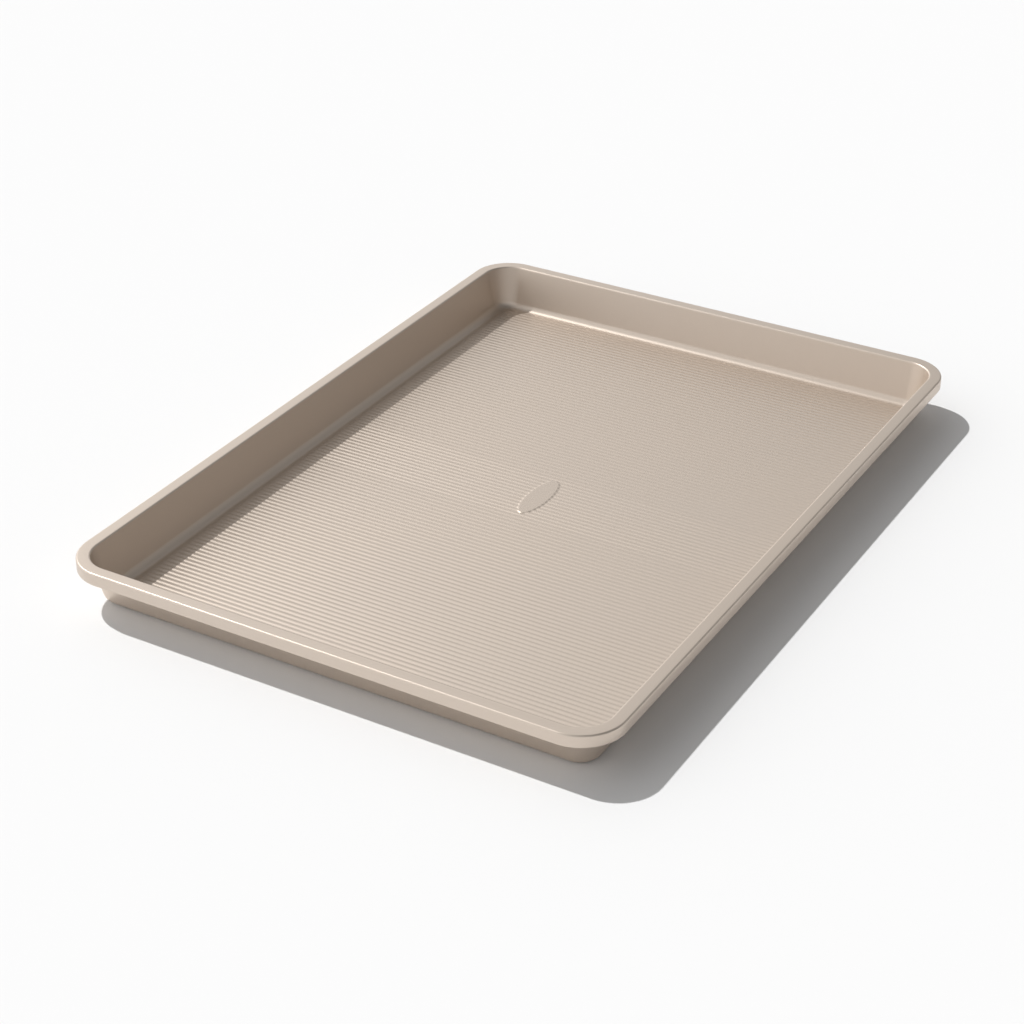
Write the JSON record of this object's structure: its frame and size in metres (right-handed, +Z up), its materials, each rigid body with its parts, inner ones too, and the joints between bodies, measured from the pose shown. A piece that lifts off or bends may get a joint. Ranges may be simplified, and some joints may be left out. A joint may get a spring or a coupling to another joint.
{
  "type": "jelly roll pan",
  "caption": "Shallow rectangular baking tray with a ribbed floor, sloping walls and a square rolled rim, for thin sheet cakes and biscuits.",
  "frame": {"origin": "on the resting plane, under the centre of the pan", "axes": "+X across the pan to the right long side, +Y along the pan to the back short side, +Z up out of the pan"},
  "size_m": [0.2984, 0.416, 0.025],
  "materials": {
    "coated_steel": "satin champagne non-stick coating baked on aluminised steel sheet",
    "wire_steel": "drawn steel wire, uncoated"
  },
  "bodies": {
    "root": {"floor_panel": "coated_steel", "front_wall": "coated_steel", "back_wall": "coated_steel", "left_wall": "coated_steel", "right_wall": "coated_steel", "front_left_corner": "coated_steel", "front_right_corner": "coated_steel", "back_left_corner": "coated_steel", "back_right_corner": "coated_steel", "front_rim": "coated_steel", "back_rim": "coated_steel", "left_rim": "coated_steel", "right_rim": "coated_steel", "front_left_rim_corner": "coated_steel", "front_right_rim_corner": "coated_steel", "back_left_rim_corner": "coated_steel", "back_right_rim_corner": "coated_steel", "rim_wire": "wire_steel"}
  },
  "joints": []
}
